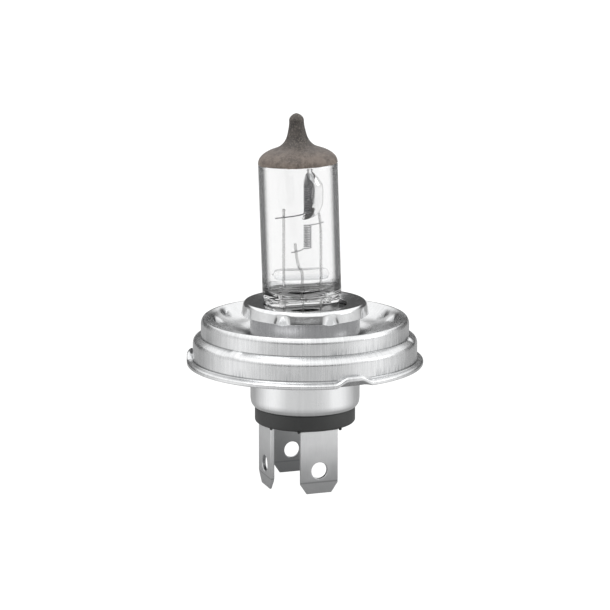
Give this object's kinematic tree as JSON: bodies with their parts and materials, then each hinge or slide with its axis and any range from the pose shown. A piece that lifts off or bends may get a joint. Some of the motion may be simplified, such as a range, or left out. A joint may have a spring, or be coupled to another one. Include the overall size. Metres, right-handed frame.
{
  "type": "headlight bulb",
  "caption": "Twin filament halogen headlight bulb: tubular quartz burner with a capped tip on a wide stepped locating collar with flat contact blades below.",
  "frame": {"origin": "centre of the locating collar's rim, on the lamp axis, in the plane of the rim's lower face", "axes": "+Z along the lamp axis toward the glass tip; -Y is the outward side of the high beam blade; -X is the outward side of the low beam blade"},
  "size_m": [0.0474, 0.0474, 0.0753],
  "materials": {
    "collar_steel": "satin plated pressed sheet with a fine drawn grain",
    "shell_steel": "satin plated tube",
    "retainer_bright": "bright mirror like cap",
    "holder_steel": "plain spring sheet",
    "insulator_plastic": "dark moulded heat proof resin",
    "blade_metal": "satin plated flat strip",
    "quartz": "clear quartz glass",
    "coat": "matt brown grey heat proof coat",
    "shield_metal": "polished thin metal",
    "coil_metal": "dark fine wound wire",
    "wire_metal": "drawn wire",
    "foil_metal": "thin bright foil",
    "weld_metal": "soft fused bead"
  },
  "bodies": {
    "root": {"prefocus_flange": "collar_steel", "base_shell": "shell_steel", "retainer_ring": "retainer_bright", "burner_holder": "holder_steel", "insulator": "insulator_plastic", "terminal_high_beam": "blade_metal", "terminal_ground": "blade_metal", "terminal_low_beam": "blade_metal", "glass_envelope": "quartz", "anti_glare_coat": "coat", "dip_shield": "shield_metal", "low_beam_filament": "coil_metal", "high_beam_filament": "coil_metal", "low_beam_support_wire": "wire_metal", "high_beam_support_wire": "wire_metal", "common_support_wire": "wire_metal", "quartz_bridge": "quartz", "foil_low_beam": "foil_metal", "foil_high_beam": "foil_metal", "foil_common": "foil_metal", "lead_low_beam": "wire_metal", "lead_high_beam": "wire_metal", "lead_common": "wire_metal", "weld_low_beam": "weld_metal", "weld_high_beam": "weld_metal", "weld_common": "weld_metal"}
  },
  "joints": []
}
